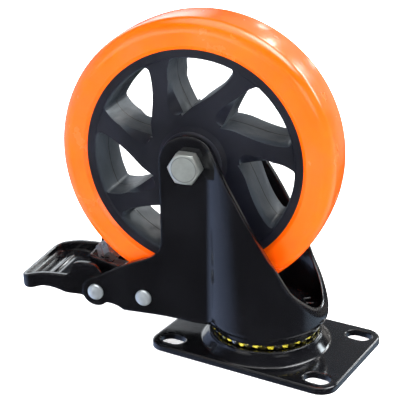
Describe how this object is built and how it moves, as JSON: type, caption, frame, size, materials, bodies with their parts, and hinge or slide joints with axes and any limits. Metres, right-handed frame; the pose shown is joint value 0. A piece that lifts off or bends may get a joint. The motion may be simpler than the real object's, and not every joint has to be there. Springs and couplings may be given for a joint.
{
  "type": "swivel castor",
  "caption": "Plate-mounted swivel castor standing wheel up, with a soft tread on a spoked plastic core, a pressed fork and a pedal that locks wheel and swivel together.",
  "frame": {"origin": "on the swivel axis in the top plate's mounting face", "axes": "+Z along the swivel axis from the plate to the wheel, +X and +Y along the plate's long and short edges; the fork's nose points 12.2 degrees from +X towards +Y"},
  "size_m": [0.161, 0.0737, 0.1525],
  "materials": {
    "black_enamel": "gloss",
    "zinc": "bright zinc",
    "ball_steel": "polished",
    "bearing_steel": "ground",
    "spring_steel": "drawn wire",
    "black_plastic": "satin",
    "orange_tread": "gloss"
  },
  "bodies": {
    "base": {"top_plate": "black_enamel", "kingpin": "zinc", "lock_ring": "black_enamel", "main_race_balls": "ball_steel", "inner_race_balls": "ball_steel"},
    "fork": {"fork": "black_enamel", "axle_bolt": "zinc", "axle_nut": "zinc", "axle_sleeve": "zinc", "near_bearing_inner": "bearing_steel", "far_bearing_inner": "bearing_steel", "near_thread_guard": "black_plastic", "far_thread_guard": "black_plastic", "pedal_rivet": "zinc", "pedal_sleeve": "zinc", "lever_rivet": "zinc", "lever_sleeve": "zinc", "lever_spacers": "zinc", "lever_spring": "spring_steel"},
    "wheel": {"wheel_core": "black_plastic", "wheel_tread": "orange_tread", "near_bearing_outer": "bearing_steel", "far_bearing_outer": "bearing_steel", "near_bearing_balls": "ball_steel", "far_bearing_balls": "ball_steel"},
    "pedal": {"pedal": "black_enamel"},
    "brake_lever": {"brake_lever": "black_enamel", "brake_screw": "zinc", "brake_nut": "zinc"}
  },
  "joints": [
    {"name": "swivel", "type": "hinge", "parent": "base", "child": "fork", "pos_m": [0, 0, 0], "axis": [0, 0, 1], "continuous": true},
    {"name": "wheel_spin", "type": "hinge", "parent": "fork", "child": "wheel", "pos_m": [-0.02893, -0.00626, 0.09], "axis": [-0.2113, 0.9774, 0], "continuous": true},
    {"name": "pedal_press", "type": "hinge", "parent": "fork", "child": "pedal", "pos_m": [-0.07399, -0.016, 0.0245], "axis": [-0.2113, 0.9774, 0], "range_deg": [0, 20]},
    {"name": "lever_swing", "type": "hinge", "parent": "fork", "child": "brake_lever", "pos_m": [-0.05092, -0.01101, 0.0248], "axis": [-0.2113, 0.9774, 0], "range_deg": [0, 6.5]}
  ],
  "couplings": [
    {"joint": "lever_swing", "follows": "pedal_press", "ratio": 0.325}
  ]
}
